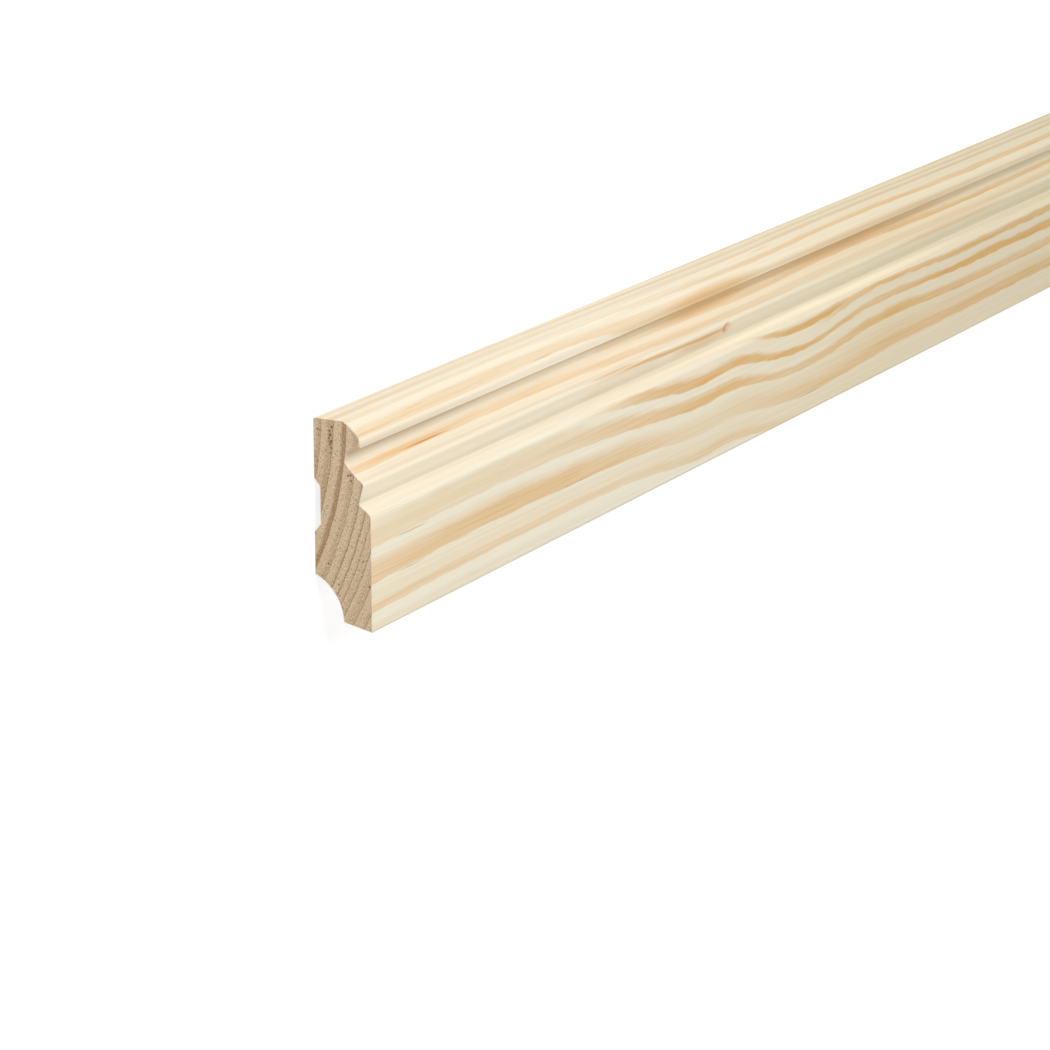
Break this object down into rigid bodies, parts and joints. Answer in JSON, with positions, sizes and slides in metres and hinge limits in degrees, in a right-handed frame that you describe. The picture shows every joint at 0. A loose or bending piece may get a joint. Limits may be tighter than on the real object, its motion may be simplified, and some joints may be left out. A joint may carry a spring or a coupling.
{
  "type": "skirting board length",
  "caption": "Length of planed softwood skirting board with an ovolo, scotia and bead moulding above a flat fascia, a coved heel and a relieved back.",
  "frame": {"origin": "under the middle of the board as it lies on its back, at the centre of the bottom of its bounding box", "axes": "+X along the board, +Y from its foot towards its top edge, +Z out of its moulded face"},
  "size_m": [2.4, 0.0579, 0.018],
  "materials": {
    "pine": "bare planed softwood, unfinished, with sawn ends"
  },
  "bodies": {
    "root": {"skirting_board": "pine"}
  },
  "joints": []
}
